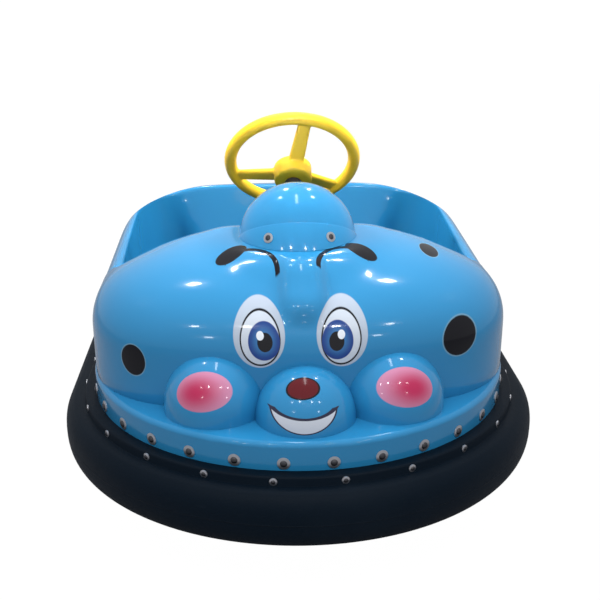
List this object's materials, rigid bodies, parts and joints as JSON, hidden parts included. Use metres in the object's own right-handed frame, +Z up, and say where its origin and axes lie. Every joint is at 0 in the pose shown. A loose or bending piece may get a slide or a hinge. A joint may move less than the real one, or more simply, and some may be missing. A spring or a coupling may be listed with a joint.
{
  "type": "children's bumper car",
  "caption": "Small battery bumper car with a moulded animal face, rubber bumper ring, bench seat and steering wheel that turns the front drive unit.",
  "frame": {"origin": "on the ground under the middle of the car's box", "axes": "+X across the car, -Y towards the nose, +Z up"},
  "size_m": [1.136, 1.5416, 0.9],
  "materials": {
    "blue_gelcoat": "glossy fibreglass",
    "ring_rubber": "matt moulded rubber",
    "yellow_plastic": "smooth, half gloss",
    "black_paint": "satin black paint",
    "bare_steel": "turned steel",
    "grey_paint": "grey primer",
    "wheel_tyre": "solid rubber tread",
    "seat_vinyl": "grained vinyl",
    "mat_rubber": "ribbed mat",
    "battery_case": "matt moulded case"
  },
  "bodies": {
    "chassis": {"bumper_tyre": "ring_rubber", "bumper_band": "grey_paint", "skirt_deck": "blue_gelcoat", "bonnet": "blue_gelcoat", "cheek_left": "blue_gelcoat", "cheek_right": "blue_gelcoat", "muzzle": "blue_gelcoat", "rear_shell": "blue_gelcoat", "footwell": "blue_gelcoat", "seat_base": "blue_gelcoat", "seat_cushion": "seat_vinyl", "steering_cowl": "blue_gelcoat", "column_tube": "black_paint", "pedal": "black_paint", "chassis_frame": "black_paint", "floor_pan": "grey_paint", "floor_mat": "mat_rubber", "battery_left": "battery_case", "battery_right": "battery_case", "battery_tray": "grey_paint", "drive_mount": "black_paint", "rear_axle_left": "black_paint", "rear_axle_right": "black_paint"},
    "steering": {"steering_wheel": "yellow_plastic", "steering_shaft": "bare_steel"},
    "drive_unit": {"drive_fork": "grey_paint", "drive_motor": "black_paint"},
    "drive_wheel": {"drive_hub": "bare_steel", "drive_tyre": "wheel_tyre"},
    "rear_wheel_left": {"rear_hub_left": "bare_steel", "rear_tyre_left": "wheel_tyre"},
    "rear_wheel_right": {"rear_hub_right": "bare_steel", "rear_tyre_right": "wheel_tyre"}
  },
  "joints": [
    {"name": "steering_turn", "type": "hinge", "parent": "chassis", "child": "steering", "pos_m": [0, 0.07, 0.761], "axis": [0, 0.7837, 0.6211], "continuous": true},
    {"name": "drive_unit_swivel", "type": "hinge", "parent": "chassis", "child": "drive_unit", "pos_m": [0, -0.33, 0.2], "axis": [0, 0, 1], "continuous": true},
    {"name": "drive_wheel_roll", "type": "hinge", "parent": "drive_unit", "child": "drive_wheel", "pos_m": [0, -0.33, 0.11], "axis": [1, 0, 0], "continuous": true},
    {"name": "rear_left_roll", "type": "hinge", "parent": "chassis", "child": "rear_wheel_left", "pos_m": [0.33, 0.42, 0.1], "axis": [1, 0, 0], "continuous": true},
    {"name": "rear_right_roll", "type": "hinge", "parent": "chassis", "child": "rear_wheel_right", "pos_m": [-0.33, 0.42, 0.1], "axis": [1, 0, 0], "continuous": true}
  ],
  "couplings": [
    {"joint": "steering_turn", "follows": "drive_unit_swivel", "ratio": 1}
  ]
}
